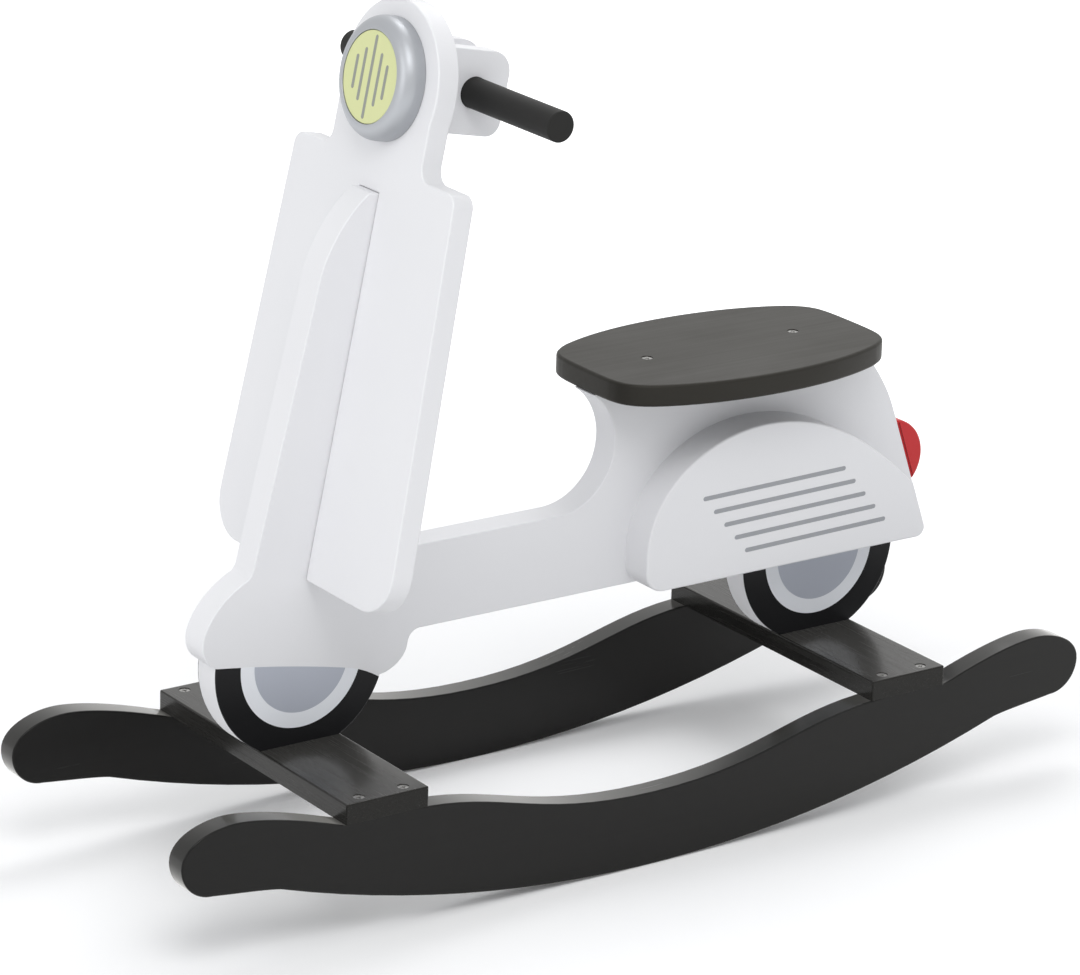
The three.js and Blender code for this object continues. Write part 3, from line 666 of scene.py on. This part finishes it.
skins = {"tyre": (tyre_skin(RIM_OUTER), tyre_paint),
         "rim": (flat_skin(HUB_OUTER, RIM_OUTER, THICK_COAT), rim_paint),
         "hub": (flat_skin(0.0, HUB_OUTER, COAT), hub_paint)}
arch_cuts = [(first, (second - first).cross(ACROSS)) for first, second in zip(arch, arch[1:])]
cowl_cuts = [(UP * COWL_BOTTOM, UP)]
wheels = {"front": (AXLE_X, arch_cuts), "rear": (-AXLE_X, cowl_cuts)}

for end, (axle_x, cuts) in wheels.items():
    for side, mirror in (("left", 1), ("right", -1)):
        for part, (outline, finish) in skins.items():
            bm = turned_about_y(outline)
            bmesh.ops.translate(bm, verts=bm.verts, vec=(axle_x, 0, AXLE_Z))
            for point, outward in cuts:
                cut_off(bm, point, outward)
            bmesh.ops.scale(bm, verts=bm.verts, vec=(1, mirror, 1))
            piece_from(bm, f"{part}_{end}_{side}", finish)
print(4 * len(skins), "coats of paint lie on the wheels")

# %% [markdown]
# ## The lamp's ring
#
# The silver ring round the lamp is turned on a lathe, and its front edge is one wide round
# that starts close to the lamp's face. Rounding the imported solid's edge in mesh code would
# keep its facets, so the ring is turned again from its outline with more steps. The outline
# keeps the pocket for the yellow-green disc and the bore for the dowel.

# %% The ring's outline
RING_RADIUS = 43.0 * MM
RING_BACK = 0.3 * MM
RING_FRONT = 17.0 * MM
RING_ROUND = 10.0 * MM
POCKET_RADIUS = 32.3 * MM
POCKET_FLOOR = 13.0 * MM
BORE_RADIUS = 4.3 * MM
BORE_END = 8.8 * MM
SOFTENED = 0.4 * MM
RING_STEPS = 10

quarter = [math.pi / 2 * i / RING_STEPS for i in range(RING_STEPS + 1)]
rim_round = [(RING_RADIUS - RING_ROUND * (1 - math.cos(a)),
              RING_FRONT - RING_ROUND * (1 - math.sin(a))) for a in quarter]
ring_outline = [
    (0.0, BORE_END), (BORE_RADIUS, BORE_END), (BORE_RADIUS, RING_BACK),
    (RING_RADIUS, RING_BACK), *rim_round,
    (POCKET_RADIUS + SOFTENED, RING_FRONT), (POCKET_RADIUS, RING_FRONT - SOFTENED),
    (POCKET_RADIUS, POCKET_FLOOR), (0.0, POCKET_FLOOR),
]
print("the ring's outline has", len(ring_outline), "points")

# %% Turn the ring about the lamp's axis
LAMP_UP = 476.5 * MM
ring = turned_about_y(ring_outline)
ring.transform(ACROSS.rotation_difference(LEAN_FORWARD).to_matrix().to_4x4())
bmesh.ops.translate(ring, verts=ring.verts, vec=leaning(0.0, 0.0, LAMP_UP))
piece_from(ring, "headlight_ring_turned", silver_paint, ("headlight_ring",))
print("the lamp's ring is", round(2 * RING_RADIUS / MM), "mm across")

# %% [markdown]
# ## Stripes and lamp bars
#
# Each cowl has five slanting grey stripes with round ends, which stand for its air slots,
# and the lamp's yellow-green face has five upright bars, the middle one the longest. They
# are flat shapes sprayed through a stencil. A Curve with a bevel would make round rods, so
# each is a stadium outline given a thickness and a softened rim in mesh code.

# %% A painted stripe
END_STEPS = 10


def stripe(name, start, end, width, outward, finish):
    """A thin coat with round ends between two points on a face that looks outward."""
    along = (end - start).normalized()
    aside = outward.cross(along)
    outline = []
    for middle, turn in ((end, -0.5), (start, 0.5)):
        for step in range(END_STEPS + 1):
            angle = math.pi * (turn + step / END_STEPS)
            turned = along * math.cos(angle) + aside * math.sin(angle)
            outline.append(middle + turned * width / 2)
    bm = bmesh.new()
    under = [bm.verts.new(p - outward * SUNK) for p in outline]
    over = [bm.verts.new(p + outward * COAT) for p in outline]
    bm.faces.new(under)
    lid = bm.faces.new(over)
    band(bm, under, over)
    bmesh.ops.bevel(bm, geom=list(lid.edges), offset=COAT / 2, segments=2, profile=0.5,
                    affect="EDGES")
    piece_from(bm, name, finish)


# %% Five stripes on each cowl
COWL_OUTER = 39.0 * MM
STRIPE_WIDTH = 3.4 * MM
STRIPES = 5
FIRST_STRIPE = (Vector((-99.0, 0, 233.0)) * MM, Vector((-226.0, 0, 235.0)) * MM)
NEXT_STRIPE = Vector((-10.0, 0, -11.6)) * MM

for side, way in (("left", ACROSS), ("right", -ACROSS)):
    for number in range(STRIPES):
        ends = [p + NEXT_STRIPE * number + way * COWL_OUTER for p in FIRST_STRIPE]
        stripe(f"cowl_stripe_{side}_{number + 1}", *ends, STRIPE_WIDTH, way, stripe_paint)
print(2 * STRIPES, "stripes lie on the cowls")

# %% Five bars on the lamp's face
LENS_FRONT = 16.3 * MM
BAR_WIDTH = 3.0 * MM
# how far across the face each bar lies and how long it is, in millimetres
BARS = ((-18.3, 21.0), (-9.6, 34.0), (0.0, 55.4), (9.6, 34.0), (18.3, 21.0))

for number, (across, length) in enumerate(BARS):
    low, high = (leaning(LENS_FRONT, across * MM, LAMP_UP + half * length * MM)
                 for half in (-0.5, 0.5))
    stripe(f"lamp_bar_{number + 1}", low, high, BAR_WIDTH, LEAN_FORWARD, bar_paint)
print(len(BARS), "bars lie on the lamp's face")

# %% [markdown]
# ## Screws
#
# Zinc-plated screws with a cross slot hold the seat and the rails, and their heads sit just
# under the paint's surface. The solids have few sides, a square-cut cross and no thread, so
# each screw is made again from an outline. A real thread is a helix, but it is hidden in
# the wood, so rings on a turned outline do for it. The cross can be seen, so it tapers as a
# screwdriver's tip does. A plated head is never one even tone, and cloudy noise varies its
# colour and its shine.

# %% Zinc-plated steel
CLOUD_SCALE = 420.0
DARK_ZINC = (0.27, 0.27, 0.27)
PALE_ZINC = (0.46, 0.45, 0.43)

zinc, add, join, shader, where = new_finish("zinc_plated_steel", Metallic=1.0)
clouds = noise(add, join, where, CLOUD_SCALE, detail=3.0)
join(mixed(add, join, clouds, DARK_ZINC, PALE_ZINC), shader.inputs["Base Color"])
join(ranged(add, join, clouds, 0.26, 0.44), shader.inputs["Roughness"])
print("the screws are", zinc.name)

# %% The screw's outline
HEAD_RADIUS = 4.0 * MM
HEAD_HEIGHT = 2.6 * MM
HEAD_RIM = 0.25 * MM
SHANK_RADIUS = 2.0 * MM
ROOT_RADIUS = 1.5 * MM
POINT_RADIUS = 0.15 * MM
PLAIN_SHARE = 0.35
THREAD_STEP = 1.6 * MM
GROOVE = (0.35, 0.65)
TIP_LENGTH = 5.0 * MM


def screw_outline(length):
    """(radius, depth) points of a screw from the rim of its head to its tip."""
    outline = [(HEAD_RADIUS, 0.0), (HEAD_RADIUS, HEAD_RIM), (SHANK_RADIUS, HEAD_HEIGHT)]
    depth = max(HEAD_HEIGHT + THREAD_STEP, PLAIN_SHARE * length)
    outline.append((SHANK_RADIUS, depth))
    while depth + THREAD_STEP < length - TIP_LENGTH:
        outline += [(ROOT_RADIUS, depth + THREAD_STEP * share) for share in GROOVE]
        depth += THREAD_STEP
        outline.append((SHANK_RADIUS, depth))
    outline.append((ROOT_RADIUS, length - TIP_LENGTH))
    outline.append((POINT_RADIUS, length))
    return outline


# %% A cross slot in the head
SLOT_REACH = 2.3 * MM
SLOT_HALF = 0.55 * MM
SLOT_DEPTH = 1.7 * MM
SLOT_TAPER = 0.55


def cross_outline(scale):
    """The twelve corners of a cross, in order."""
    r, h = SLOT_REACH * scale, SLOT_HALF * scale
    quarter = [(r, -h), (r, h), (h, h)]
    corners = []
    for turn in range(4):
        c, s = round(math.cos(turn * math.pi / 2)), round(math.sin(turn * math.pi / 2))
        corners += [(x * c - y * s, x * s + y * c) for x, y in quarter]
    return corners


# %% The mesh of a screw
SCREW_SIDES = 24


def screw_mesh(length):
    """A screw that points down from the middle of its head."""
    bm = bmesh.new()
    turns = [2 * math.pi * i / SCREW_SIDES for i in range(SCREW_SIDES)]
    rows = [[bm.verts.new((radius * math.cos(a), radius * math.sin(a), -depth)) for a in turns]
            for radius, depth in screw_outline(length)]
    mouth = [bm.verts.new((x, y, 0)) for x, y in cross_outline(1.0)]
    bottom = [bm.verts.new((x, y, -SLOT_DEPTH)) for x, y in cross_outline(SLOT_TAPER)]
    for row, following in zip([*rows[:-1], mouth], [*rows[1:], bottom]):
        band(bm, row, following)
    bm.faces.new(rows[-1])
    bm.faces.new(bottom)
    open_edges = [e for e in bm.edges if e.is_boundary]
    bmesh.ops.triangle_fill(bm, edges=open_edges, use_beauty=True, normal=UP)
    return bm


# %% Drive the screws in
def drive(node, way_out):
    """Puts a threaded screw in the place of a solid, with its head facing the way out."""
    middle = middle_of(node)
    along = [v.co.dot(way_out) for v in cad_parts[node].data.vertices]
    head = middle + way_out * (max(along) - middle.dot(way_out))
    bm = screw_mesh(max(along) - min(along))
    turn = way_out.to_track_quat("Z", "Y").to_matrix().to_4x4()
    bm.transform(Matrix.Translation(head) @ turn)
    piece_from(bm, node + "_driven", zinc, (node,))


ways_out = {"rail_screw": UP, "seat_screw": UP, "foot_screw": -UP,
            "handlebar_screw": -LEAN_FORWARD}
screws = [(node, way_out) for node in sorted(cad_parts)
          for kind, way_out in ways_out.items() if node.startswith(kind)]
for node, way_out in screws:
    drive(node, way_out)
print(len(screws), "screws are driven in")

# %% [markdown]
# ## Dowels
#
# Beech dowels hold the shield, the lamp, the tail light and the cowls, and are hidden in
# their holes. They could be turned again like the screws, but a dowel is a plain pin, so
# its solid stays and only gets a finish. Beech has no long grain lines: it has short dark
# flecks, so its noise is squeezed less, and its colour runs between two browns.

# %% Beech for the dowels
FLECKS = (900.0, 180.0, 900.0)
PALE_BEECH = (0.66, 0.44, 0.25)
DARK_BEECH = (0.48, 0.29, 0.15)
FLECK_STRENGTH = 0.2
FLECK_HEIGHT = 0.1 * MM

beech, add, join, shader, where = new_finish("bare_beech")
flecks = squeezed_noise(add, join, where, FLECKS, detail=4.0, rough=0.65)
join(mixed(add, join, flecks, PALE_BEECH, DARK_BEECH), shader.inputs["Base Color"])
join(ranged(add, join, flecks, 0.5, 0.7), shader.inputs["Roughness"])
bumped(add, join, shader, flecks, FLECK_STRENGTH, FLECK_HEIGHT)

dowels = [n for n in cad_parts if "dowel" in n]
for node in dowels:
    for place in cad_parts[node].material_slots:
        place.material = beech
print(len(dowels), "dowels are bare beech")
